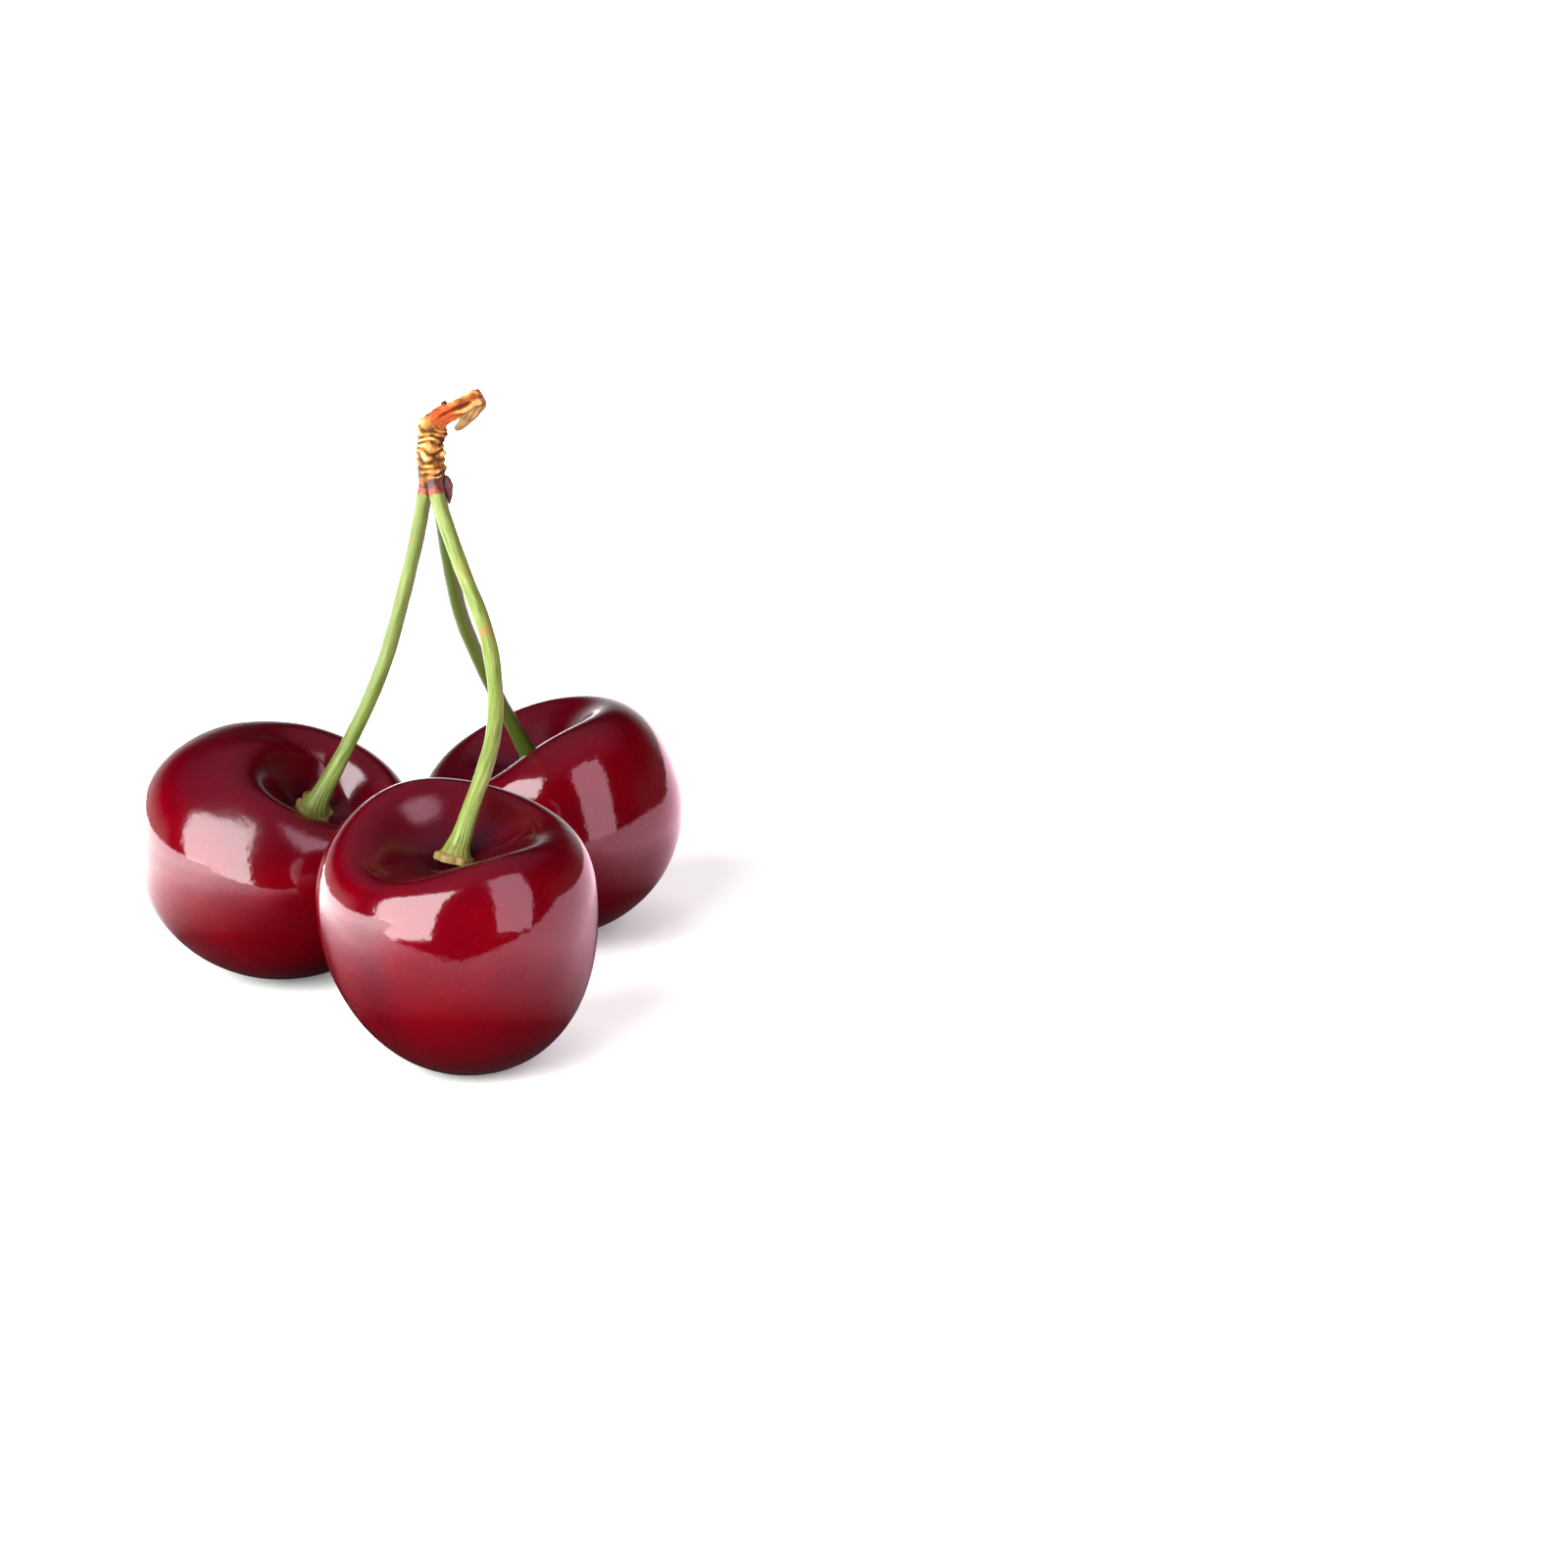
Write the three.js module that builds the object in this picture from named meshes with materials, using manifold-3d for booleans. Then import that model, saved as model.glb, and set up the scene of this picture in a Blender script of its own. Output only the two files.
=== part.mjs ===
// Three sweet cherries on their stalks, joined at one woody spur and standing on the fruits.
// Millimetres, +Z up, seen from the front along +Y.
import * as THREE from 'three';
import { mergeVertices } from 'three/addons/utils/BufferGeometryUtils.js';
import Module from 'manifold-3d';

const wasm = await Module();
wasm.setup();

// Driving dimensions
const cherrySegments = 32; // facets around a fruit
const cherryRings = 24; // facets from cavity to blossom end
const stalkRadius = 0.82;
const stalkSteps = 30;
const footGrowth = 0.9; // how much wider the stalk's foot is than the stalk
const footRise = 1.6; // from the cavity's floor to the foot's end, so that a leaning foot clears the pit
const spurRadius = 1.3;
const ringPitch = 0.95; // distance between the annual rings of the spur
const ringHeight = 0.08;

// What all three fruits share. Angles are in degrees around the fruit's own axis.
const fruit = {
  width: 28.2,
  depth: 26,
  top: 13, // widest ring to shoulder
  bottom: 15.6, // widest ring to blossom end
  shoulder: 0.85, // roundness above the widest ring: lower is squarer
  taper: 1, // roundness below it
  bowl: 7.6, // depth of the cavity
  bowlRadius: 7,
  bowlPower: 2.6, // steepness of its sides
  pit: 1, // the small socket in the cavity's floor, where the stalk grows
  pitRadius: 2.6,
  cavityShift: [0, 0],
  lip: 8.8, // radius of the cavity's lip
  tilt: 0, // how much one side of the lip stands higher
  tiltSide: 0,
  saddle: 0.5, // two high and two low places on the lip
  saddleSide: 90,
  notch: 2, // low place of the lip where the suture runs in
  notchWidth: 50,
  suture: 235,
  sway: 0, // sideways shift of the blossom end
};

const fruits = {
  cherry_front: {
    ...fruit,
    width: 28.4,
    top: 11.8,
    bottom: 18.2,
    taper: 0.86,
    bowl: 6.4,
    bowlRadius: 7.8,
    bowlPower: 3.3,
    lip: 9,
    tilt: 0.7,
    tiltSide: 160,
    saddle: 1.1,
    saddleSide: 115,
    notch: 1.6,
    sway: 0.8,
    place: [0.3, -3.4],
    lean: 10,
    leanTo: -105,
  },
  cherry_left: {
    ...fruit,
    width: 30.8,
    depth: 27.5,
    top: 10.8,
    bottom: 15.8,
    bowl: 5.2,
    bowlRadius: 5.4,
    bowlPower: 3,
    pit: 0.6,
    cavityShift: [3, 0.4],
    lip: 7.2,
    tilt: 0.9,
    tiltSide: 180,
    suture: 80,
    notchWidth: 60,
    place: [-20.8, 24.2],
    lean: 26,
    leanTo: -62,
  },
  cherry_back: {
    ...fruit,
    width: 29,
    depth: 27,
    bottom: 13.4,
    shoulder: 0.76,
    tilt: 0.3,
    suture: 232,
    notch: 3,
    notchWidth: 48,
    place: [7.7, 38.8],
    lean: 18,
    leanTo: 172,
  },
};

// Each stalk runs from the spur down to a point above its cavity; the last point is the cavity's floor.
const stalks = {
  stalk_front: {
    cherry: 'cherry_front',
    route: [[-2.4, 19, 54.3], [-0.2, 15.5, 49], [3.3, 9, 41.5], [4, 2.4, 34.6], [1.6, -2.8, 27.2]],
  },
  stalk_left: {
    cherry: 'cherry_left',
    route: [[-4, 20.1, 54.5], [-5.5, 21, 47.5], [-8.8, 22, 36], [-12.8, 23, 27]],
  },
  stalk_back: {
    cherry: 'cherry_back',
    route: [[-2.5, 21.5, 54], [-1.95, 25.5, 46], [-0.95, 29.5, 38.6], [1.5, 33.5, 30.5], [4, 37, 23.8]],
  },
};

const spurRoute = [
  [-3.05, 20.2, 55.3],
  [-3.2, 20.2, 58.3],
  [-3.05, 20.2, 60.6],
  [-2.55, 20.1, 62.4],
  [-1.2, 20, 63.45],
  [0.5, 19.9, 64.2],
  [2.4, 19.8, 65.1],
];
const flapRoute = [[2.3, 19.6, 64.9], [1.9, 19.4, 64], [0.9, 19.2, 63.1], [-0.2, 19.2, 62]];
const stubAt = [-1.55, 20, 64.2];
const budAt = [-0.95, 20.9, 56];
const budSize = [0.5, 0.5, 1.5];

const skin = { color: '#8f0a1e', roughness: 0.12, metalness: 0 };
const green = { color: '#b4c06a', roughness: 0.5, metalness: 0 };
const bark = { color: '#c08a45', roughness: 0.7, metalness: 0 };
const dryScale = { color: '#5a2433', roughness: 0.6, metalness: 0 };

const radians = THREE.MathUtils.degToRad;
const hill = (distance, width, power) => Math.exp(-(Math.abs(distance / width) ** power));

// Height of the lip's waves at an angle around the fruit: one tilt, one saddle and the suture's notch.
function lipWave(shape, around) {
  const turn = around - radians(shape.suture);
  const fromSuture = Math.atan2(Math.sin(turn), Math.cos(turn));
  const tilt = shape.tilt * Math.cos(around - radians(shape.tiltSide));
  const saddle = shape.saddle * Math.cos(2 * (around - radians(shape.saddleSide)));
  return tilt + saddle - shape.notch * hill(fromSuture, radians(shape.notchWidth), 2);
}

// A point of the fruit's skin. Its profile is a squashed ellipse, with other powers above and below the
// widest ring; the top then sinks by a broad bowl and a small pit, and its lip rises and falls.
function skinPoint(shape, polar, around) {
  const upward = Math.cos(polar);
  const above = Math.max(upward, 0);
  const below = Math.max(-upward, 0);
  const radius = (shape.width / 2) * Math.sin(polar) ** (upward > 0 ? shape.shoulder : shape.taper);
  const x = radius * Math.cos(around);
  const y = radius * Math.sin(around);
  const inCavity = Math.hypot(x - shape.cavityShift[0], y - shape.cavityShift[1]);
  let z = shape.top * above ** 0.8 - shape.bottom * below;
  if (upward > 0) {
    z -= shape.bowl * hill(inCavity, shape.bowlRadius, shape.bowlPower) + shape.pit * hill(inCavity, shape.pitRadius, 4);
    const onLip = Math.min(radius / shape.lip, 1) * hill(radius - shape.lip, 0.45 * shape.lip, 2);
    z += onLip * Math.sqrt(above) * lipWave(shape, around);
  }
  return new THREE.Vector3(x + shape.sway * below ** 1.6, y * (shape.depth / shape.width), z);
}

// Welds the corners that facets share, so that the surface is one closed body.
function weld(geometry) {
  geometry.deleteAttribute('normal');
  geometry.deleteAttribute('uv');
  const welded = mergeVertices(geometry);
  welded.computeVertexNormals();
  return welded;
}

function namedMesh(name, geometry, look) {
  const mesh = new THREE.Mesh(geometry, new THREE.MeshStandardMaterial(look));
  mesh.name = name;
  return mesh;
}

function makeCherry(name, shape) {
  const geometry = new THREE.SphereGeometry(1, cherrySegments, cherryRings).rotateX(Math.PI / 2);
  const position = geometry.getAttribute('position');
  const corner = new THREE.Vector3();
  for (let index = 0; index < position.count; index += 1) {
    corner.fromBufferAttribute(position, index);
    const polar = Math.acos(THREE.MathUtils.clamp(corner.z, -1, 1));
    const point = skinPoint(shape, polar, Math.atan2(corner.y, corner.x));
    position.setXYZ(index, point.x, point.y, point.z);
  }
  const mesh = namedMesh(name, weld(geometry), skin);
  const towards = radians(shape.leanTo);
  const leanAxis = new THREE.Vector3(-Math.sin(towards), Math.cos(towards), 0);
  mesh.quaternion.setFromAxisAngle(leanAxis, radians(shape.lean));
  mesh.position.set(shape.place[0], shape.place[1], 0);
  mesh.position.z = -new THREE.Box3().setFromObject(mesh, true).min.z;
  mesh.updateMatrixWorld(true);
  return mesh;
}

function curveThrough(points) {
  const corners = points.map((point) => new THREE.Vector3(...point));
  return new THREE.CatmullRomCurve3(corners, false, 'catmullrom', 0.5);
}

// A section carried along a path, grown about the path's own points by growthAt(run, length).
function grownTube(path, section, steps, growthAt) {
  const options = { steps, extrudePath: path, bevelEnabled: false, curveSegments: 5 };
  const geometry = new THREE.ExtrudeGeometry(section, options);
  const centres = path.getSpacedPoints(steps);
  const length = path.getLength();
  const position = geometry.getAttribute('position');
  const corner = new THREE.Vector3();
  for (let index = 0; index < position.count; index += 1) {
    corner.fromBufferAttribute(position, index);
    const distances = centres.map((centre) => centre.distanceToSquared(corner));
    const step = distances.indexOf(Math.min(...distances));
    const growth = growthAt((length * step) / steps, length);
    corner.sub(centres[step]).multiplyScalar(growth).add(centres[step]);
    position.setXYZ(index, corner.x, corner.y, corner.z);
  }
  return weld(geometry);
}

function ellipse(alongNormal, alongBinormal) {
  return new THREE.Shape().absellipse(0, 0, alongNormal, alongBinormal, 0, 2 * Math.PI);
}

// The stalk widens to a flared foot, the receptacle, which is rounded under so that it sits in the pit.
function makeStalk(name, stalk) {
  const cherry = cherries[stalk.cherry];
  const [shiftX, shiftY] = fruits[stalk.cherry].cavityShift;
  const middle = Math.atan2(shiftY, shiftX);
  const polar = Math.asin((Math.hypot(shiftX, shiftY) * 2) / fruits[stalk.cherry].width);
  const floor = skinPoint(fruits[stalk.cherry], polar, middle);
  floor.z += footRise;
  const foot = floor.applyMatrix4(cherry.matrixWorld);
  const path = curveThrough([...stalk.route, foot.toArray()]);
  const flare = (run, length) => {
    const fromFoot = length - run;
    return 1 + footGrowth * hill(fromFoot - 0.8, 1.5, 2);
  };
  return namedMesh(name, grownTube(path, ellipse(stalkRadius, stalkRadius), stalkSteps, flare), green);
}

function toSolid(geometry) {
  const welded = weld(geometry);
  const vertProperties = new Float32Array(welded.getAttribute('position').array);
  const triVerts = new Uint32Array(welded.index.array);
  return new wasm.Manifold(new wasm.Mesh({ numProp: 3, vertProperties, triVerts }));
}

function toGeometry(solid) {
  const { vertProperties, triVerts } = solid.getMesh();
  const geometry = new THREE.BufferGeometry();
  geometry.setAttribute('position', new THREE.BufferAttribute(vertProperties, 3));
  geometry.setIndex(new THREE.BufferAttribute(triVerts, 1));
  geometry.computeVertexNormals();
  return geometry;
}

// Ringed lower part, slimmer bent upper part and a torn end, with a bark flap and a stub joined on.
function makeSpur() {
  const ringedLength = 7.5;
  const ringedGrowth = (run) => {
    const slim = THREE.MathUtils.smoothstep(run, ringedLength - 1, ringedLength + 1.5);
    const rings = (1 - slim) * ringHeight * Math.cos((2 * Math.PI * run) / ringPitch);
    return 1 + rings - 0.35 * slim;
  };
  const wood = grownTube(curveThrough(spurRoute), ellipse(spurRadius, spurRadius), 42, ringedGrowth);
  const narrowing = (run, length) => 1 - 0.6 * (run / length);
  const flap = grownTube(curveThrough(flapRoute), ellipse(0.25, 0.9), 8, narrowing);
  const stub = new THREE.CapsuleGeometry(0.45, 0.9, 3, 8);
  stub.rotateY(radians(20));
  stub.rotateZ(radians(35));
  stub.translate(...stubAt);
  return namedMesh('spur', toGeometry(toSolid(wood).add(toSolid(flap)).add(toSolid(stub))), bark);
}

function makeBud() {
  const geometry = weld(new THREE.SphereGeometry(1, 10, 8).rotateX(Math.PI / 2));
  const mesh = namedMesh('bud', geometry.scale(...budSize), dryScale);
  mesh.position.set(...budAt);
  return mesh;
}

const bunch = new THREE.Group();
const cherries = {};
for (const [name, shape] of Object.entries(fruits)) {
  cherries[name] = makeCherry(name, shape);
  bunch.add(cherries[name]);
}
for (const [name, stalk] of Object.entries(stalks)) {
  bunch.add(makeStalk(name, stalk));
}
bunch.add(makeSpur());
bunch.add(makeBud());

// The origin is the middle of the bunch's outer box, on the surface that the fruits rest on.
const box = new THREE.Box3().setFromObject(bunch, true);
const middle = box.getCenter(new THREE.Vector3());
const group = new THREE.Group();
bunch.position.set(-middle.x, -middle.y, -box.min.z);
group.add(bunch);

export default group;
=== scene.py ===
import math

import bpy
import numpy as np
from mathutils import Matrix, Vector


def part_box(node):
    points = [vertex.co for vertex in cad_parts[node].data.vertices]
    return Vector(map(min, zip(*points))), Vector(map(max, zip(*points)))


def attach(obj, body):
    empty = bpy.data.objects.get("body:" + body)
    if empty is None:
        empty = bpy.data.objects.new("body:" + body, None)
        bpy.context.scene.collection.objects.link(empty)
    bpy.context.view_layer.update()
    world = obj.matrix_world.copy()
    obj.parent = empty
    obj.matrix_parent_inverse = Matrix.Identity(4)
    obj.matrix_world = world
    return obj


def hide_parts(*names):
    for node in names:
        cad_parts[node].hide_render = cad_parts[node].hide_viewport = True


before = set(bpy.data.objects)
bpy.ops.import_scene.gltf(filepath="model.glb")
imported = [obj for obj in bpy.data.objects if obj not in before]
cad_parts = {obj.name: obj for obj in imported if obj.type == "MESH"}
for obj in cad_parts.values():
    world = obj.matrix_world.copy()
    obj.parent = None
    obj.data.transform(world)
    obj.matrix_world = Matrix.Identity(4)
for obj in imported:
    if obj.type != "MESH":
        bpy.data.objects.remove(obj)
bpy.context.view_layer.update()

mm = 0.001  # pieces are worked out in millimetres and stored in metres


# ---- small tools used by every piece

def middleOf(node):
    # the middle of a CAD node's box, in millimetres
    low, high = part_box(node)
    return (np.array(low) + np.array(high)) / (2 * mm)


budMiddle = (-0.95, 20.9, 56)
partShift = middleOf("bud") - np.array(budMiddle)  # from the bunch's own millimetres to the frame's


def hill(distance, width, power=2):
    # 1 in the middle, falling to 0 past the width: exp(-|distance / width| ^ power)
    return np.exp(-np.abs(distance / width) ** power)


def rise(value, start, end):
    # 0 before start, 1 after end and a smooth S between them: 3s^2 - 2s^3
    share = np.clip((value - start) / (end - start), 0, 1)
    return share * share * (3 - 2 * share)


def roundEnd(distance, reach):
    # 0 at the end of a tube and 1 past the reach, along a quarter circle: sqrt(1 - (1 - s)^2)
    return np.sqrt(np.clip(1 - (1 - np.clip(distance / reach, 0, 1)) ** 2, 0, 1))


def waves(place, length, seed, count=12):
    # gentle lumps of about one size, with no repeat: the sum of sine waves of nearly that length,
    # each running its own way through space, kept to about -1 to 1
    chance = np.random.default_rng(seed)
    ways = chance.normal(size=(count, 3))
    ways /= np.linalg.norm(ways, axis=1)[:, None]
    rates = 2 * np.pi / (length * chance.uniform(0.7, 1.5, count))
    turns = place @ (ways * rates[:, None]).T + chance.uniform(0, 2 * np.pi, count)
    return np.sin(turns).sum(axis=-1) / math.sqrt(count)


def turned(axis, degrees):
    # the matrix that turns a point about an axis: Rodrigues' formula
    x, y, z = np.array(axis) / np.linalg.norm(axis)
    cross = np.array([[0, -z, y], [z, 0, -x], [-y, x, 0]])
    angle = math.radians(degrees)
    return np.eye(3) + math.sin(angle) * cross + (1 - math.cos(angle)) * cross @ cross


def makePiece(name, node, material, rows, marks):
    # rows is a grid of points, ring after ring, whose first and last rings are one point each.
    # marks are numbers for each point, which the material reads.
    ringCount, around = rows.shape[:2]
    between = slice(1, -1)  # all rings but the two poles
    points = np.vstack([rows[between].reshape(-1, 3), rows[0, :1], rows[-1, :1]]) * mm
    start = np.arange(ringCount - 3)[:, None] * around
    here = np.arange(around)[None, :]
    after = (here + 1) % around
    quads = np.stack([start + here, start + around + here, start + around + after, start + after], -1)
    first = len(points) - 2
    tail = (ringCount - 3) * around
    caps = [np.stack([here[0] * 0 + first, here[0], after[0]], -1),
            np.stack([here[0] * 0 + first + 1, tail + after[0], tail + here[0]], -1)]
    mesh = bpy.data.meshes.new(name)
    mesh.from_pydata(points.tolist(), [], quads.reshape(-1, 4).tolist() + np.vstack(caps).tolist())
    mesh.polygons.foreach_set("use_smooth", np.ones(len(mesh.polygons), bool))
    for mark, grid in marks.items():
        width = grid.shape[2:] or (1,)
        values = np.concatenate([grid[between].reshape(-1, *width), grid[0, :1].reshape(-1, *width),
                                 grid[-1, :1].reshape(-1, *width)])
        kind, key = ("FLOAT", "value") if width == (1,) else ("FLOAT_VECTOR", "vector")
        mesh.attributes.new(mark, kind, "POINT").data.foreach_set(key, values.ravel())
    mesh.materials.append(material)
    piece = bpy.data.objects.new(name, mesh)
    bpy.context.scene.collection.objects.link(piece)
    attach(piece, "root")
    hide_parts(node)
    return piece


def routeThrough(points, count):
    # a Catmull-Rom curve through the points, sampled close together near both ends: the middle share
    # of the way is (1 - cos) / 2
    points = np.array(points, float)
    fine = np.linspace(0, len(points) - 1, 60 * len(points))
    leg = np.minimum(fine.astype(int), len(points) - 2)
    share = (fine - leg)[:, None]
    before, start, end, beyond = (points[np.clip(leg + step, 0, len(points) - 1)] for step in (-1, 0, 1, 2))
    leave, arrive = (end - before) / 2, (beyond - start) / 2
    curve = (2 * start - 2 * end + leave + arrive) * share**3 \
        + (3 * end - 3 * start - 2 * leave - arrive) * share**2 + leave * share + start
    run = np.concatenate([[0], np.cumsum(np.linalg.norm(np.diff(curve, axis=0), axis=1))])
    wanted = run[-1] * (1 - np.cos(np.linspace(0, np.pi, count))) / 2
    return np.stack([np.interp(wanted, run, curve[:, i]) for i in range(3)], -1), wanted


def alongRoute(route, run, side, around):
    # for each ring the two directions across the path, and the angle of each point round it.
    # side is a direction that the path never takes, so that the rings don't twist.
    ahead = np.gradient(route, run, axis=0)
    ahead /= np.linalg.norm(ahead, axis=1)[:, None]
    across = np.array(side) - ahead * (ahead @ np.array(side))[:, None]
    across /= np.linalg.norm(across, axis=1)[:, None]
    angle = np.linspace(0, 2 * np.pi, around, endpoint=False)[None, :]
    return across, np.cross(across, ahead), angle


def circleAcross(across, up, angle):
    # a circle of radius 1 across the path at each ring: cos(angle) one way and sin(angle) the other
    return np.cos(angle)[..., None] * across[:, None] + np.sin(angle)[..., None] * up[:, None]


def addNode(tree, kind, settings=None, values=None, links=None):
    # one node, with its properties, its socket values and what is plugged into it
    made = tree.nodes.new(kind)
    for name, value in (settings or {}).items():
        setattr(made, name, value)
    for name, value in (values or {}).items():
        made.inputs[name].default_value = value
    for name, socket in (links or {}).items():
        tree.links.new(socket, made.inputs[name])
    return made


def linear(hexColour):
    # sRGB hex to linear light
    parts = np.array([int(hexColour[i:i + 2], 16) for i in (1, 3, 5)]) / 255
    parts = np.where(parts <= 0.04045, parts / 12.92, ((parts + 0.055) / 1.055) ** 2.4)
    return (*parts.tolist(), 1.0)


def newMaterial(name):
    material = bpy.data.materials.new(name)
    material.use_nodes = True
    tree = material.node_tree
    tree.nodes.clear()
    return material, tree


# ---- materials

def waxyCherrySkin():
    # Sweet cherry skin: a clear wax over thin red skin over juicy flesh. It gives sharp, slightly
    # wavy reflections, a deep red with painted shade in the stalk cavity and over the top of the fruit,
    # and pin-point lenticels that are a little lighter than the skin.
    look = dict(
        # the cavity colour is the dark red of the painted shade in the stalk cavity and over the top
        flush="#520007", deep="#4a0008", cavity="#240008", speck="#70040f", scar="#b98a58",
        mottleSize=6.0, fineSize=0.9, speckSpacing=0.85, grainSize=0.35, swellSize=1.0,  # millimetres
        swellDepth=0.018, grainDepth=0.006,  # millimetres of bump
        roughness=0.08, cavityRoughness=0.26, scarRoughness=0.6, ior=1.5,
        waxTint=(1.0, 0.85, 0.92, 1.0),
        fleshShare=0.25, fleshDepth=1.5, fleshSpread=(1.0, 0.12, 0.08),  # light that goes under the skin
    )
    material, tree = newMaterial("waxyCherrySkin")
    place = addNode(tree, "ShaderNodeTexCoord").outputs["Object"]
    cavity = addNode(tree, "ShaderNodeAttribute", dict(attribute_name="cavityMark")).outputs["Fac"]
    seam = addNode(tree, "ShaderNodeAttribute", dict(attribute_name="seamMark")).outputs["Fac"]
    scar = addNode(tree, "ShaderNodeAttribute", dict(attribute_name="scarMark")).outputs["Fac"]
    mottle = addNode(tree, "ShaderNodeTexNoise", None, {"Scale": 1 / (look["mottleSize"] * mm), "Detail": 4},
                     {"Vector": place}).outputs["Fac"]
    fine = addNode(tree, "ShaderNodeTexNoise", None, {"Scale": 1 / (look["fineSize"] * mm), "Detail": 3},
                   {"Vector": place}).outputs["Fac"]
    mottleMap = addNode(tree, "ShaderNodeMapRange", None, {"From Min": 0.38, "From Max": 0.62},
                        {"Value": mottle}).outputs[0]
    body = addNode(tree, "ShaderNodeMix", dict(data_type="RGBA"),
                   {6: linear(look["deep"]), 7: linear(look["flush"])}, {0: mottleMap}).outputs[2]
    # lenticels: only the very middle of each Voronoi cell shows
    cells = addNode(tree, "ShaderNodeTexVoronoi", None, {"Scale": 1 / (look["speckSpacing"] * mm)},
                    {"Vector": place}).outputs["Distance"]
    specks = addNode(tree, "ShaderNodeMapRange", None,
                     {"From Min": 0.10, "From Max": 0.26, "To Min": 0.35, "To Max": 0.0},
                     {"Value": cells}).outputs[0]
    speckled = addNode(tree, "ShaderNodeMix", dict(data_type="RGBA"), {7: linear(look["speck"])},
                       {0: specks, 6: body}).outputs[2]
    fineMap = addNode(tree, "ShaderNodeMapRange", None,
                      {"From Min": 0.35, "From Max": 0.65, "To Min": 0.25, "To Max": 0.0},
                      {"Value": fine}).outputs[0]
    grained = addNode(tree, "ShaderNodeMix", dict(data_type="RGBA"), {7: linear(look["deep"])},
                      {0: fineMap, 6: speckled}).outputs[2]
    # the seam line is darkened a little, and the stalk cavity and the top of the fruit take painted shade,
    # both towards the cavity colour
    seamMap = addNode(tree, "ShaderNodeMath", dict(operation="MULTIPLY"), {1: 0.35}, {0: seam}).outputs[0]
    seamed = addNode(tree, "ShaderNodeMix", dict(data_type="RGBA"), {7: linear(look["cavity"])},
                     {0: seamMap, 6: grained}).outputs[2]
    cavityShaded = addNode(tree, "ShaderNodeMix", dict(data_type="RGBA"), {7: linear(look["cavity"])},
                   {0: cavity, 6: seamed}).outputs[2]
    scarred = addNode(tree, "ShaderNodeMix", dict(data_type="RGBA"), {7: linear(look["scar"])},
                      {0: scar, 6: cavityShaded}).outputs[2]
    grain = addNode(tree, "ShaderNodeTexNoise", None, {"Scale": 1 / (look["grainSize"] * mm), "Detail": 2},
                    {"Vector": place}).outputs["Fac"]
    swell = addNode(tree, "ShaderNodeTexNoise", None, {"Scale": 1 / (look["swellSize"] * mm), "Detail": 1},
                    {"Vector": place}).outputs["Fac"]
    broad = addNode(tree, "ShaderNodeBump", None, {"Strength": 1.0, "Distance": look["swellDepth"] * mm},
                    {"Height": swell}).outputs[0]
    bump = addNode(tree, "ShaderNodeBump", None, {"Strength": 1.0, "Distance": look["grainDepth"] * mm},
                   {"Height": grain, "Normal": broad}).outputs[0]
    gloss = addNode(tree, "ShaderNodeMapRange", None,
                    {"To Min": look["roughness"] - 0.02, "To Max": look["roughness"] + 0.03},
                    {"Value": fine}).outputs[0]
    dulled = addNode(tree, "ShaderNodeMix", dict(data_type="FLOAT"), {3: look["cavityRoughness"]},
                     {0: cavity, 2: gloss}).outputs[0]
    rough = addNode(tree, "ShaderNodeMix", dict(data_type="FLOAT"), {3: look["scarRoughness"]},
                    {0: scar, 2: dulled}).outputs[0]
    skin = addNode(tree, "ShaderNodeBsdfPrincipled", None,
                   {"IOR": look["ior"], "Specular Tint": look["waxTint"],
                    "Subsurface Weight": look["fleshShare"], "Subsurface Radius": look["fleshSpread"],
                    "Subsurface Scale": look["fleshDepth"] * mm},
                   {"Base Color": scarred, "Roughness": rough, "Normal": bump})
    addNode(tree, "ShaderNodeOutputMaterial", None, None, {"Surface": skin.outputs[0]})
    return material


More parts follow.
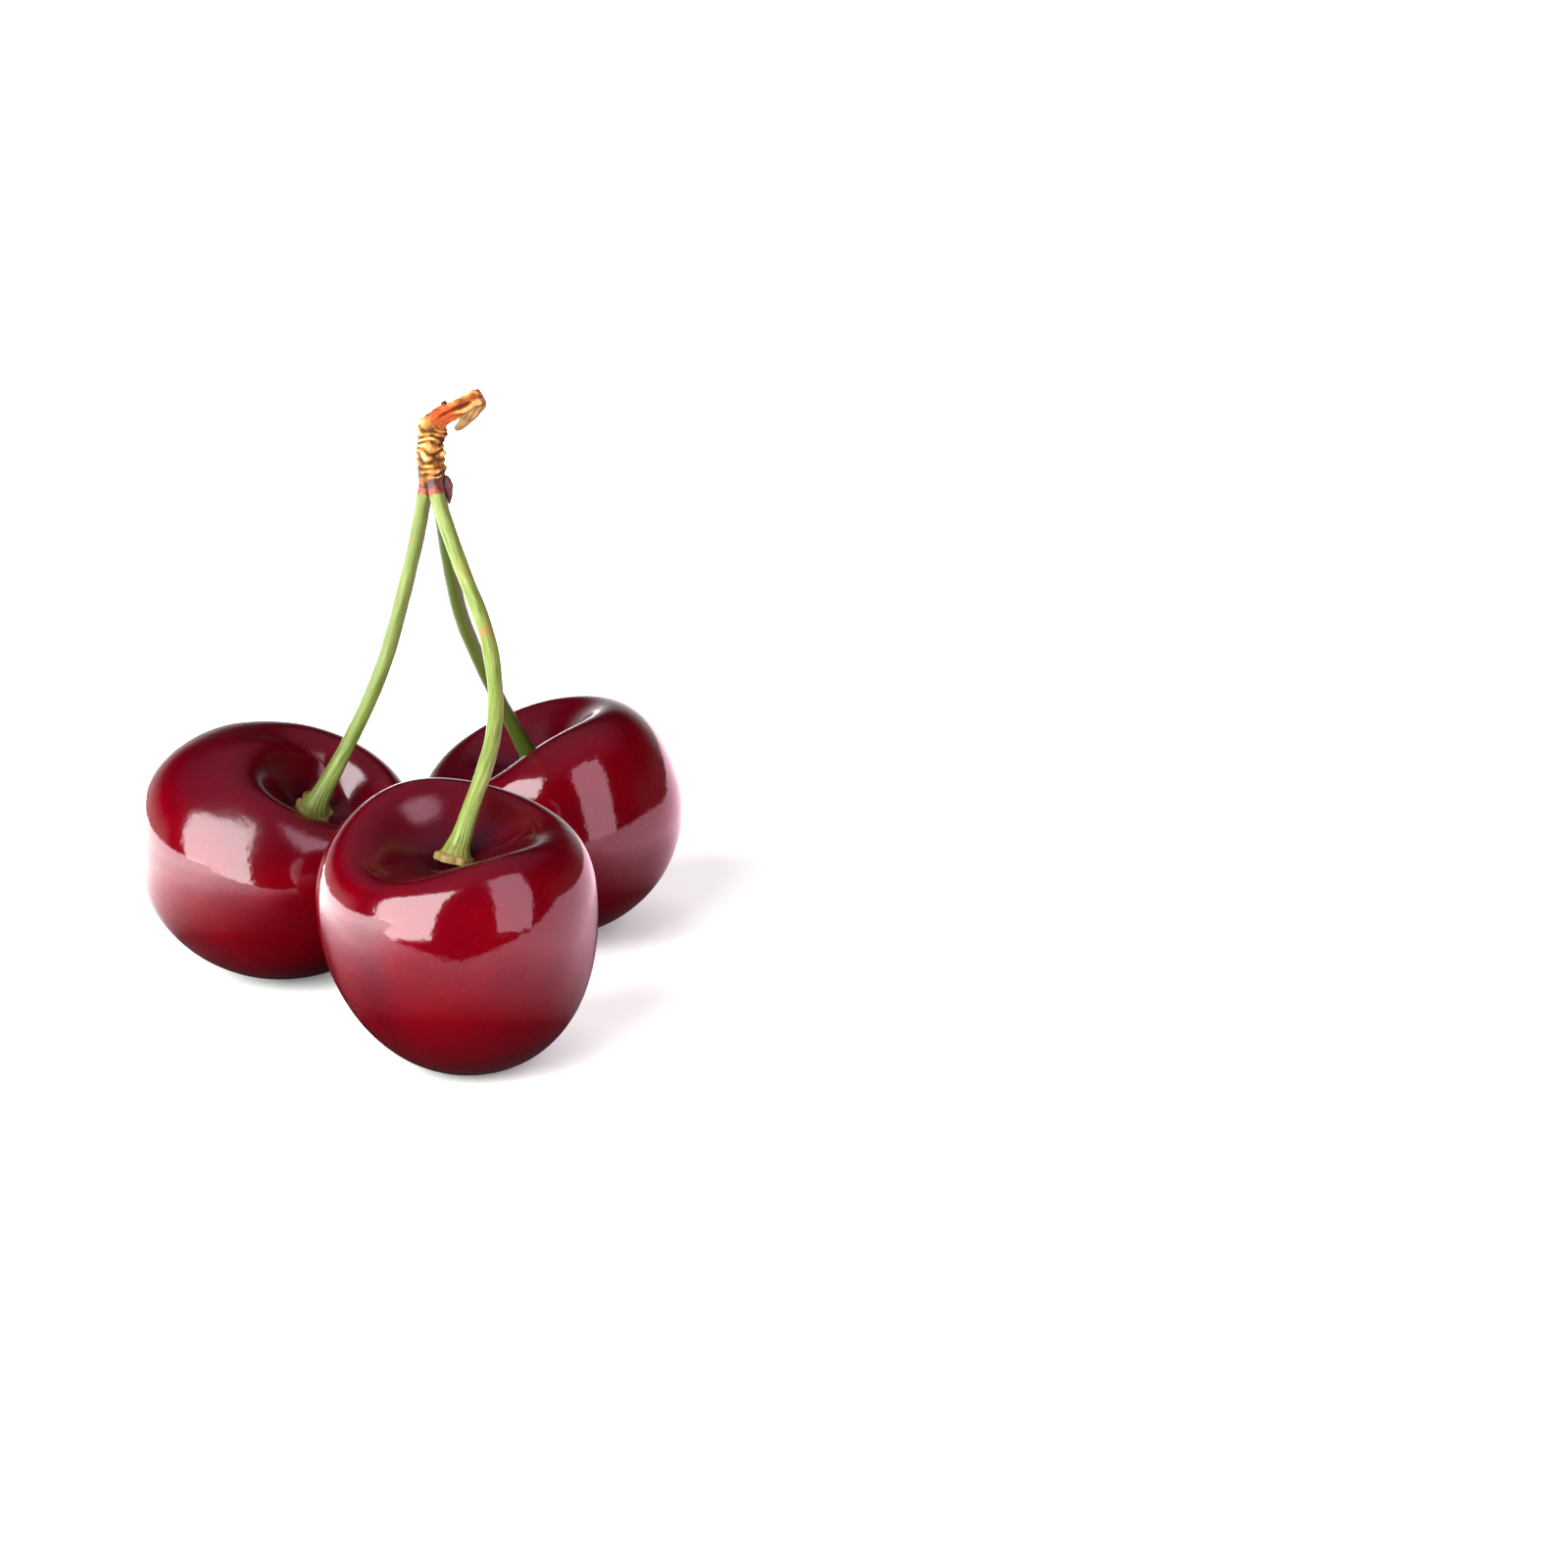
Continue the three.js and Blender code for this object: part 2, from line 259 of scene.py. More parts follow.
def freshStalkRind():
    # Fresh cherry stalk: a smooth green rind over fibres that run its length. It is satin, streaked
    # lighter and darker along the grain, tan where it meets the fruit and rusty where it leaves the wood,
    # with painted shade darkening its very end in the hollow at the wood.
    look = dict(
        green="#5a6a2c", pale="#7e8a4a", olive="#35420f", blotch="#7a5a2c",
        rim="#705e34", rust="#6a2c16", collar="#2e1218",
        streak=0.35,  # width of a streak, as a share of the stalk's radius
        cloudSize=3.5, blotchSize=2.6, tatterSize=0.8, streakDepth=0.03,  # millimetres
        satin=0.34, dull=0.55, gloss=0.3, ior=1.45,
    )
    material, tree = newMaterial("freshStalkRind")
    place = addNode(tree, "ShaderNodeTexCoord").outputs["Object"]
    grain = addNode(tree, "ShaderNodeAttribute", dict(attribute_name="grainPlace")).outputs["Vector"]
    foot = addNode(tree, "ShaderNodeAttribute", dict(attribute_name="footMark")).outputs["Fac"]
    collar = addNode(tree, "ShaderNodeAttribute", dict(attribute_name="collarMark")).outputs["Fac"]
    streaks = addNode(tree, "ShaderNodeTexNoise", None, {"Scale": 1 / look["streak"], "Detail": 3},
                      {"Vector": grain}).outputs["Fac"]
    streakMap = addNode(tree, "ShaderNodeMapRange", None, {"From Min": 0.30, "From Max": 0.74},
                        {"Value": streaks}).outputs[0]
    base = addNode(tree, "ShaderNodeMix", dict(data_type="RGBA"),
                   {6: linear(look["olive"]), 7: linear(look["pale"])}, {0: streakMap}).outputs[2]
    clouds = addNode(tree, "ShaderNodeTexNoise", None, {"Scale": 1 / (look["cloudSize"] * mm), "Detail": 2},
                     {"Vector": place}).outputs["Fac"]
    clouded = addNode(tree, "ShaderNodeMix", dict(data_type="RGBA"), {7: linear(look["green"])},
                      {0: clouds, 6: base}).outputs[2]
    spots = addNode(tree, "ShaderNodeTexNoise", None, {"Scale": 1 / (look["blotchSize"] * mm), "Detail": 5},
                    {"Vector": place}).outputs["Fac"]
    spotMap = addNode(tree, "ShaderNodeMapRange", None,
                      {"From Min": 0.62, "From Max": 0.70, "To Max": 0.7}, {"Value": spots}).outputs[0]
    spotted = addNode(tree, "ShaderNodeMix", dict(data_type="RGBA"), {7: linear(look["blotch"])},
                      {0: spotMap, 6: clouded}).outputs[2]
    # each stalk is darkened towards olive by its own amount, partly its own tone and partly painted shade,
    # most on the back stalk
    shade = addNode(tree, "ShaderNodeAttribute", dict(attribute_name="toneAndShadeMark")).outputs["Fac"]
    shaded = addNode(tree, "ShaderNodeMix", dict(data_type="RGBA"), {7: linear(look["olive"])},
                     {0: shade, 6: spotted}).outputs[2]
    rimmed = addNode(tree, "ShaderNodeMix", dict(data_type="RGBA"), {7: linear(look["rim"])},
                     {0: foot, 6: shaded}).outputs[2]
    tatter = addNode(tree, "ShaderNodeTexNoise", None, {"Scale": 1 / (look["tatterSize"] * mm), "Detail": 4},
                     {"Vector": place}).outputs["Fac"]
    ragged = addNode(tree, "ShaderNodeMath", dict(operation="MULTIPLY_ADD"), {1: 2.4, 2: -0.2},
                     {0: tatter}).outputs[0]
    collarEdge = addNode(tree, "ShaderNodeMath", dict(operation="MULTIPLY"), None,
                         {0: collar, 1: ragged}).outputs[0]
    collarMap = addNode(tree, "ShaderNodeMapRange", None, {"From Min": 0.36, "From Max": 0.56},
                        {"Value": collarEdge}).outputs[0]
    # the collar mark grows at the very end, so the painted shade in the hollow there turns the rust almost
    # black
    upward = addNode(tree, "ShaderNodeMath", dict(operation="MULTIPLY_ADD"), {1: 0.3, 2: -0.3},
                     {0: collar}).outputs[0]
    uneven = addNode(tree, "ShaderNodeMath", dict(operation="ADD"), None, {0: upward, 1: tatter}).outputs[0]
    darker = addNode(tree, "ShaderNodeMapRange", None, {"From Min": 0.42, "From Max": 0.56},
                     {"Value": uneven}).outputs[0]
    brown = addNode(tree, "ShaderNodeMix", dict(data_type="RGBA"),
                    {6: linear(look["rust"]), 7: linear(look["collar"])}, {0: darker}).outputs[2]
    collared = addNode(tree, "ShaderNodeMix", dict(data_type="RGBA"), None,
                       {0: collarMap, 6: rimmed, 7: brown}).outputs[2]
    bump = addNode(tree, "ShaderNodeBump", None, {"Strength": 1.0, "Distance": look["streakDepth"] * mm},
                   {"Height": streaks}).outputs[0]
    rough = addNode(tree, "ShaderNodeMapRange", None, {"To Min": look["satin"], "To Max": look["dull"]},
                    {"Value": clouds}).outputs[0]
    rind = addNode(tree, "ShaderNodeBsdfPrincipled", None,
                   {"IOR": look["ior"], "Specular IOR Level": look["gloss"]},
                   {"Base Color": collared, "Roughness": rough, "Normal": bump})
    addNode(tree, "ShaderNodeOutputMaterial", None, None, {"Surface": rind.outputs[0]})
    return material


def ringedSpurBark():
    # Fruiting-spur bark: thin corky bark crowded with leaf and bud scars. It is dry and matt, straw
    # yellow on the ridges, rust brown in the furrows and orange where it has torn; the paler ridges carry
    # a painted highlight and the darker furrows and slots a painted shade.
    look = dict(
        ridge="#b39b64", ochre="#7c561c", furrow="#361a04", orange="#8a3a14", dry="#5c4c34",
        patchSize=1.1, grainSize=0.25, grainDepth=0.06,  # millimetres
        smooth=0.55, coarse=0.85, gloss=0.15, ior=1.5,
    )
    material, tree = newMaterial("ringedSpurBark")
    place = addNode(tree, "ShaderNodeTexCoord").outputs["Object"]
    high = addNode(tree, "ShaderNodeAttribute", dict(attribute_name="ridgeToneAndShadeMark")).outputs["Fac"]
    torn = addNode(tree, "ShaderNodeAttribute", dict(attribute_name="tornMark")).outputs["Fac"]
    dry = addNode(tree, "ShaderNodeAttribute", dict(attribute_name="dryMark")).outputs["Fac"]
    patches = addNode(tree, "ShaderNodeTexNoise", None, {"Scale": 1 / (look["patchSize"] * mm), "Detail": 4},
                      {"Vector": place}).outputs["Fac"]
    grain = addNode(tree, "ShaderNodeTexNoise", None, {"Scale": 1 / (look["grainSize"] * mm), "Detail": 3},
                    {"Vector": place}).outputs["Fac"]
    mixed = addNode(tree, "ShaderNodeMath", dict(operation="MULTIPLY_ADD"), {1: 2.0, 2: -1.05},
                    {0: patches}).outputs[0]
    level = addNode(tree, "ShaderNodeMath", dict(operation="ADD", use_clamp=True), None,
                    {0: high, 1: mixed}).outputs[0]
    lower = addNode(tree, "ShaderNodeMapRange", None, {"From Min": 0.05, "From Max": 0.4},
                    {"Value": level}).outputs[0]
    upper = addNode(tree, "ShaderNodeMapRange", None, {"From Min": 0.4, "From Max": 0.85},
                    {"Value": level}).outputs[0]
    # from furrow to ochre to ridge: the bark's own tones, with painted shade low down and painted highlight
    # high up
    low = addNode(tree, "ShaderNodeMix", dict(data_type="RGBA"),
                  {6: linear(look["furrow"]), 7: linear(look["ochre"])}, {0: lower}).outputs[2]
    bark = addNode(tree, "ShaderNodeMix", dict(data_type="RGBA"), {7: linear(look["ridge"])},
                   {0: upper, 6: low}).outputs[2]
    rusty = addNode(tree, "ShaderNodeMapRange", None,
                    {"From Min": 0.52, "From Max": 0.62, "To Max": 0.6}, {"Value": patches}).outputs[0]
    tornMap = addNode(tree, "ShaderNodeMath", dict(operation="MAXIMUM"), None, {0: rusty, 1: torn}).outputs[0]
    rusted = addNode(tree, "ShaderNodeMix", dict(data_type="RGBA"), {7: linear(look["orange"])},
                     {0: tornMap, 6: bark}).outputs[2]
    final = addNode(tree, "ShaderNodeMix", dict(data_type="RGBA"), {7: linear(look["dry"])},
                    {0: dry, 6: rusted}).outputs[2]
    bump = addNode(tree, "ShaderNodeBump", None, {"Strength": 1.0, "Distance": look["grainDepth"] * mm},
                   {"Height": grain}).outputs[0]
    rough = addNode(tree, "ShaderNodeMapRange", None, {"To Min": look["smooth"], "To Max": look["coarse"]},
                    {"Value": grain}).outputs[0]
    wood = addNode(tree, "ShaderNodeBsdfPrincipled", None,
                   {"IOR": look["ior"], "Specular IOR Level": look["gloss"]},
                   {"Base Color": final, "Roughness": rough, "Normal": bump})
    addNode(tree, "ShaderNodeOutputMaterial", None, None, {"Surface": wood.outputs[0]})
    return material


def dryBudScale():
    # Dry bud scale: a papery purple-brown husk, satin, with faint raised veins that are paler.
    look = dict(
        husk="#34101a", pale="#5e2e24",
        veinSize=0.3, veinDepth=0.04,  # millimetres
        satin=0.4, dull=0.65, ior=1.45,
    )
    material, tree = newMaterial("dryBudScale")
    place = addNode(tree, "ShaderNodeTexCoord").outputs["Object"]
    veins = addNode(tree, "ShaderNodeTexNoise", None, {"Scale": 1 / (look["veinSize"] * mm), "Detail": 4},
                    {"Vector": place}).outputs["Fac"]
    veinMap = addNode(tree, "ShaderNodeMapRange", None, {"From Min": 0.4, "From Max": 0.7},
                      {"Value": veins}).outputs[0]
    colour = addNode(tree, "ShaderNodeMix", dict(data_type="RGBA"),
                     {6: linear(look["husk"]), 7: linear(look["pale"])}, {0: veinMap}).outputs[2]
    bump = addNode(tree, "ShaderNodeBump", None, {"Strength": 1.0, "Distance": look["veinDepth"] * mm},
                   {"Height": veins}).outputs[0]
    rough = addNode(tree, "ShaderNodeMapRange", None, {"To Min": look["satin"], "To Max": look["dull"]},
                    {"Value": veins}).outputs[0]
    husk = addNode(tree, "ShaderNodeBsdfPrincipled", None, {"IOR": look["ior"]},
                   {"Base Color": colour, "Roughness": rough, "Normal": bump})
    addNode(tree, "ShaderNodeOutputMaterial", None, None, {"Surface": husk.outputs[0]})
    return material


skinMaterial = waxyCherrySkin()
rindMaterial = freshStalkRind()
barkMaterial = ringedSpurBark()
huskMaterial = dryBudScale()
print("materials ready")


# ---- camera, at the height and distance of a close studio shot

cameraLook = dict(
    lens=100, pitch=18, distance=444,  # degrees below level, and millimetres to what it aims at
    aim=(33.3, 4.5, 28.3),  # a place beside the bunch, so that the bunch stands at the left
)
camera = bpy.data.objects.new("camera", bpy.data.cameras.new("camera"))
camera.data.lens = cameraLook["lens"]
camera.data.sensor_width = 36
camera.data.clip_start = 0.01
pitch = math.radians(cameraLook["pitch"])
aim = partShift + np.array(cameraLook["aim"])
back = np.array([0, -math.cos(pitch), math.sin(pitch)])
camera.location = Vector((aim + cameraLook["distance"] * back) * mm)
camera.rotation_euler = (math.pi / 2 - pitch, 0, 0)
bpy.context.scene.collection.objects.link(camera)
bpy.context.scene.camera = camera


# ---- cherries

cherryShared = dict(
    width=28.2, depth=26.0,  # the widest ring, in millimetres as all lengths here
    top=13.0, bottom=15.6,  # how far the fruit goes over and under that ring
    shoulder=0.85, taper=1.0,  # roundness over and under the widest ring: lower is squarer
    bowl=7.6, bowlRadius=7.0, bowlPower=2.6, pit=1.0, pitRadius=2.6, cavityShift=(0, 0),
    lip=8.8, tilt=0, tiltSide=0, saddle=0.5, saddleSide=90,
    notch=2.0, notchWidth=50, suture=235, sway=0,
    seamDepth=0.05, seamWidth=8, dimple=0.4, dimpleRadius=1.6,
    lump=0.04, lumpSize=9.0, smallLumpSize=3.5, smallLumpShare=0.12,
    scarFrom=0.75, scarTo=0.95, scarOval=1.5,  # where the blossom-end scar fades out
    rings=250, around=340,
)
cherries = dict(
    cherry_front=dict(cherryShared, width=28.4, top=11.8, bottom=18.2, taper=0.86,
                      bowl=6.4, bowlRadius=7.8, bowlPower=3.3, lip=9.0, tilt=0.7, tiltSide=160,
                      saddle=1.1, saddleSide=115, notch=1.6, sway=0.8, lean=10, leanTo=-105, seed=3),
    cherry_left=dict(cherryShared, width=30.8, depth=27.5, top=10.8, bottom=15.8, cavityShift=(3.0, 0.4),
                     bowl=5.2, bowlRadius=5.4, bowlPower=3.0, pit=0.6, lip=7.2, tilt=0.9, tiltSide=180,
                     suture=80, notchWidth=60, lean=26, leanTo=-62, seed=11),
    cherry_back=dict(cherryShared, width=29.0, depth=27.0, bottom=13.4, shoulder=0.76, tilt=0.3, suture=232,
                     notch=3.0, notchWidth=48, lean=18, leanTo=172, seed=23),
)


def cherrySkin(shape, polar, around):
    # A squashed ellipse turned round the fruit's axis, with other powers over and under its widest ring.
    # The top sinks by a broad bowl and a small pit; the lip rises and falls by a tilt, a saddle and the
    # suture's notch; a shallow seam runs down from the notch; the blossom end has a dimple.
    upward = np.cos(polar)
    above = np.maximum(upward, 0)
    below = np.maximum(-upward, 0)
    radius = shape["width"] / 2 * np.sin(polar) ** np.where(upward > 0, shape["shoulder"], shape["taper"])
    x = radius * np.cos(around)
    y = radius * np.sin(around)
    inCavity = np.hypot(x - shape["cavityShift"][0], y - shape["cavityShift"][1])
    turn = around - np.radians(shape["suture"])
    fromSuture = np.degrees(np.arctan2(np.sin(turn), np.cos(turn)))
    wave = shape["tilt"] * np.cos(around - np.radians(shape["tiltSide"])) \
        + shape["saddle"] * np.cos(2 * (around - np.radians(shape["saddleSide"]))) \
        - shape["notch"] * hill(fromSuture, shape["notchWidth"])
    onLip = np.minimum(radius / shape["lip"], 1) * hill(radius - shape["lip"], 0.45 * shape["lip"])
    sink = shape["bowl"] * hill(inCavity, shape["bowlRadius"], shape["bowlPower"]) \
        + shape["pit"] * hill(inCavity, shape["pitRadius"], 4)
    dimple = shape["dimple"] * hill(radius, shape["dimpleRadius"])
    z = shape["top"] * above**0.8 - shape["bottom"] * below \
        + np.where(upward > 0, onLip * np.sqrt(above) * wave - sink, dimple)
    seam = hill(fromSuture, shape["seamWidth"]) * np.sin(polar) ** 1.5
    inward = 1 - seam * shape["seamDepth"] / (shape["width"] / 2)
    points = np.stack(np.broadcast_arrays(
        x * inward + shape["sway"] * below**1.6, y * inward * shape["depth"] / shape["width"], z), -1)
    return points, inCavity, seam, radius


def makeCherry(name, shape):
    # the skin over a grid of polar angle, closer together at the cavity, and angle around the fruit,
    # with faint lumps along the way out from its middle; returns the place of the cavity's floor
    polar = (np.pi * np.linspace(0, 1, shape["rings"]) ** 1.08)[:, None]
    around = np.linspace(0, 2 * np.pi, shape["around"], endpoint=False)[None, :]
    points, inCavity, seam, radius = cherrySkin(shape, polar, around)
    outward = points - points.mean(axis=(0, 1))
    outward /= np.linalg.norm(outward, axis=2)[..., None]
    lump = waves(points, shape["lumpSize"], shape["seed"]) \
        + shape["smallLumpShare"] * waves(points, shape["smallLumpSize"], shape["seed"] + 1)
    points = points + outward * (shape["lump"] * lump * np.sin(polar))[..., None]
    towards = math.radians(shape["leanTo"])
    turn = turned((-math.sin(towards), math.cos(towards), 0), shape["lean"])
    rows = points @ turn.T
    low, high = rows.min(axis=(0, 1)), rows.max(axis=(0, 1))
    move = middleOf(name) - (low + high) / 2
    move[2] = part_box(name)[0].z / mm - low[2]
    rows += move
    under = (polar > 2.5) * np.ones_like(radius)
    oval = np.hypot(points[..., 0] - shape["sway"], shape["scarOval"] * points[..., 1])
    cavityShaded = rise(hill(inCavity, shape["bowlRadius"], 2.6) * (polar < 1.5), 0.15, 1.0)
    # the first mark is painted shade: strongest in the stalk cavity and weaker over the top of the fruit
    marks = dict(
        cavityMark=np.maximum(0.85 * cavityShaded, 0.5 * (1 - rise(polar, 0.6, 1.15)) * np.ones_like(radius)),
        seamMark=seam * np.ones_like(radius),
        scarMark=under * (1 - rise(oval, shape["scarFrom"], shape["scarTo"])),
    )
    makePiece("fine_" + name, name, skinMaterial, rows, marks)
    shiftX, shiftY = shape["cavityShift"]
    floorShare = 2 * math.hypot(shiftX, shiftY) / shape["width"]
    floorPolar = np.array(math.asin(floorShare ** (1 / shape["shoulder"])))
    floor = cherrySkin(shape, floorPolar, np.array(math.atan2(shiftY, shiftX)))[0]
    return floor @ turn.T + move


cavityFloors = {name: makeCherry(name, shape) for name, shape in cherries.items()}
print("cherries made")


# ---- stalks

stalkShared = dict(
    radius=0.80, collar=0.14, collarLength=2.2,  # collar: how much thicker it is at the wood
    swell=0.3, footReach=5.0, flare=0.75, flareLength=1.5,
    flange=1.1, flangeAt=0.5, flangeThick=0.42, rag=0.16, closing=0.2, opening=1.1,
    flutes=17, fluteDepth=0.03, ribs=5, ribDepth=0.02, side=(1, 0, 0),
    grainLength=9.0,  # millimetres of the way that stretch the streaks as far as one radius across
    # the second of these lengths is the reach of a painted shade in the hollow at the wood
    rustLength=2.75, hollowShadeLength=1.5, tanLength=1.0,  # colours at the wood and at the foot
    footRise=(1.9, 0.25),  # heights over the cavity's floor of the route's last two points
    rings=300, around=72,
)
# each stalk's shade number darkens it towards olive: partly its own tone, partly painted shade
stalks = dict(
    stalk_front=dict(
        stalkShared, cherry="cherry_front", footWay=(0.23, 0.21, 0.95), shade=0.0, seed=5,
        route=[(-2.95, 19.7, 57.4), (-2.4, 18.9, 54.4), (-0.2, 15.5, 49), (3.3, 9, 41.5),
               (4, 2.4, 34.6), (1.6, -2.8, 27.2)]),
    stalk_left=dict(
        stalkShared, cherry="cherry_left", footWay=(0.35, -0.5, 0.79), shade=0.35, seed=6,
        route=[(-3.3, 20.1, 57.4), (-4.0, 20.1, 54.3), (-5.5, 21, 47.5), (-8.8, 22, 36), (-12.8, 23, 27)]),
    stalk_back=dict(
        stalkShared, cherry="cherry_back", footWay=(-0.3, -0.1, 0.95), shade=0.95, seed=7,
        route=[(-2.95, 20.6, 57.0), (-2.5, 21.5, 54), (-1.95, 25.5, 46), (-0.95, 29.5, 38.6),
               (1.5, 33.5, 30.5), (4, 37, 23.8)]),
)


def makeStalk(name, shape):
    # A round tube along the route. Its radius grows by a collar at the wood, swells towards the foot,
    # flares, and ends in a thin ragged flange that closes on the pit's floor. Ribs run its length and
    # fine flutes show near the foot.
    floor = cavityFloors[shape["cherry"]] - partShift
    way = np.array(shape["footWay"]) / np.linalg.norm(shape["footWay"])
    points = [*shape["route"], *(floor + height * way for height in shape["footRise"])]
    route, run = routeThrough(points, shape["rings"])
    route += partShift
    across, up, angle = alongRoute(route, run, shape["side"], shape["around"])
    circle = circleAcross(across, up, angle)
    toFoot = (run[-1] - run)[:, None]
    fromHub = run[:, None]
    place = route[:, None] + shape["radius"] * circle
    lumps = 0.02 * waves(place, 4.0, shape["seed"]) + 0.008 * waves(place, 1.2, shape["seed"] + 1)
    nearFoot = hill(toFoot, shape["footReach"])
    radius = shape["radius"] + shape["collar"] * hill(fromHub, shape["collarLength"]) \
        + shape["swell"] * nearFoot + shape["flare"] * hill(toFoot, shape["flareLength"]) + lumps
    radius = radius * (1 + shape["ribDepth"] * np.cos(shape["ribs"] * angle + 0.08 * run[:, None])
                       + shape["fluteDepth"] * nearFoot * np.cos(shape["flutes"] * angle))
    rim = 2 * np.stack(np.broadcast_arrays(np.cos(angle), np.sin(angle), 0 * radius), -1)
    ragged = shape["rag"] * waves(rim, 1.1, shape["seed"] + 2)
    inFlange = hill(toFoot - shape["flangeAt"], shape["flangeThick"], 6)
    radius = radius * (1 - inFlange) + (shape["radius"] + shape["flange"] + ragged) * inFlange
    radius = radius * roundEnd(toFoot, shape["closing"]) * roundEnd(fromHub, shape["opening"])
    rows = route[:, None] + radius[..., None] * circle
    grain = np.stack(np.broadcast_arrays(np.cos(angle), np.sin(angle), fromHub / shape["grainLength"]), -1)
    one = np.ones_like(radius)
    marks = dict(
        grainPlace=grain,
        footMark=one * np.clip(hill(toFoot, shape["tanLength"], 8)
                               + 0.25 * hill(toFoot, 2 * shape["tanLength"]), 0, 1),
        # rust brown at the wood, and a painted shade in the hollow at its very end
        collarMark=one * (hill(fromHub, shape["rustLength"], 7)
                          + 0.6 * hill(fromHub, shape["hollowShadeLength"], 4)),
        toneAndShadeMark=one * shape["shade"],
    )
    makePiece("fine_" + name, name, rindMaterial, rows, marks)


for stalkName, stalkShape in stalks.items():
    makeStalk(stalkName, stalkShape)
print("stalks made")


# ---- spur

spur = dict(
    route=[(-3.0, 20.2, 55.3), (-3.1, 20.2, 56.7), (-3.2, 20.2, 58.6), (-3.05, 20.2, 60.6),
           (-2.55, 20.1, 62.4), (-1.2, 20, 63.45), (0.5, 19.9, 64.2), (2.4, 19.8, 65.1)],
    radius=1.32, slim=0.90, tip=1.0,  # of the ringed foot, of the bend and of the torn end
    # pairs say where something begins and is whole, in millimetres from the foot
    thinning=(6.6, 8.6), tipSwelling=(9.4, 11), tearing=(6.8, 8),
    ringsBegin=(0.6, 2.2), ringedLength=7.2, ringPitch=0.82, ringHeight=0.34, ringWander=0.36,
    lump=0.08, smallLump=0.03,
    strands=5, strandDepth=0.12, strandsBegin=(8.2, 9.4), fibres=14, fibreDepth=0.04,
    slotDepth=0.62, slotAngle=15, slotBegins=(7.9, 8.8), slotEnds=(0.9, 1.7),  # the last from the tip
    frontSlot=(-0.976, 0.217), underSlot=(-0.8, -0.6),  # which way each slot faces, along Y and Z
    footRound=0.5, tipRound=0.25, rings=420, around=150, side=(0, 1, 0), seed=41,
)


def makeSpur(shape):
    # A tube with slanting ring scars, each a swollen lip over a furrow; past the rings it thins, bends
    # over and ends in a blunt torn tip with long fibres and two slots.
    route, run = routeThrough(shape["route"], shape["rings"])
    route += partShift
    across, up, angle = alongRoute(route, run, shape["side"], shape["around"])
    along = run[:, None]
    left = run[-1] - along
    circle = circleAcross(across, up, angle)
    place = route[:, None] + shape["radius"] * circle
    ringed = rise(along, *shape["ringsBegin"]) \
        - rise(along, shape["ringedLength"] - 0.8, shape["ringedLength"] + 0.4)
    wander = shape["ringWander"] * waves(place, 2.0, shape["seed"])
    phase = (along + wander) / shape["ringPitch"] % 1
    lipShape = np.sin(np.pi * phase**1.5) ** 1.3
    fade = 0.6 + 0.45 * waves(place, 1.5, shape["seed"] + 3)
    rings = shape["ringHeight"] * lipShape * np.clip(fade, 0.15, 1.3) * ringed
    thickness = shape["radius"] + (shape["slim"] - shape["radius"]) * rise(along, *shape["thinning"]) \
        + (shape["tip"] - shape["slim"]) * rise(along, *shape["tipSwelling"])
    lumps = shape["lump"] * waves(place, 1.5, shape["seed"] + 1) \
        + shape["smallLump"] * waves(place, 0.5, shape["seed"] + 2)
    torn = rise(along, *shape["tearing"])
    drift = waves(place, 3.0, shape["seed"] + 4)
    strands = np.cos(shape["strands"] * angle + 0.5 + 0.3 * along + 0.9 * drift) \
        * rise(along, *shape["strandsBegin"])
    fibres = torn * (shape["strandDepth"] * strands
                     + shape["fibreDepth"] * np.cos(shape["fibres"] * angle + drift))
    # degrees round the spur from the way that each slot faces
    front, under = (np.degrees(np.arccos(np.clip(circle[..., 1] * y + z * circle[..., 2], -1, 1)))
                    for y, z in (shape["frontSlot"], shape["underSlot"]))
    slots = hill(front, shape["slotAngle"], 4) \
        + 0.6 * hill(under, 0.7 * shape["slotAngle"], 4) * rise(left, 2, 3)
    slot = shape["slotDepth"] * slots * rise(along, *shape["slotBegins"]) * rise(left, *shape["slotEnds"])
    radius = thickness + rings + lumps + fibres - slot
    radius = radius * roundEnd(left, shape["tipRound"]) * roundEnd(along, shape["footRound"])
    rows = route[:, None] + radius[..., None] * circle
    one = np.ones_like(radius)
    # the mark is high on ring lips and torn strands and low in furrows and slots: the bark's own tones with a
    # painted highlight on ridges and painted shade in furrows and slots
    ridges = np.clip(0.12 + 0.95 * lipShape * fade * ringed + torn * (0.3 + 0.4 * strands), 0, 1)
    marks = dict(
        ridgeToneAndShadeMark=ridges - np.clip(slot * 2, 0, 1),
        tornMark=one * rise(along, 6.8, 7.8) * (0.85 - 0.5 * rise(along, 9, 10.2)),
        dryMark=0 * one,
    )
    makePiece("fine_spur", "spur", barkMaterial, rows, marks)


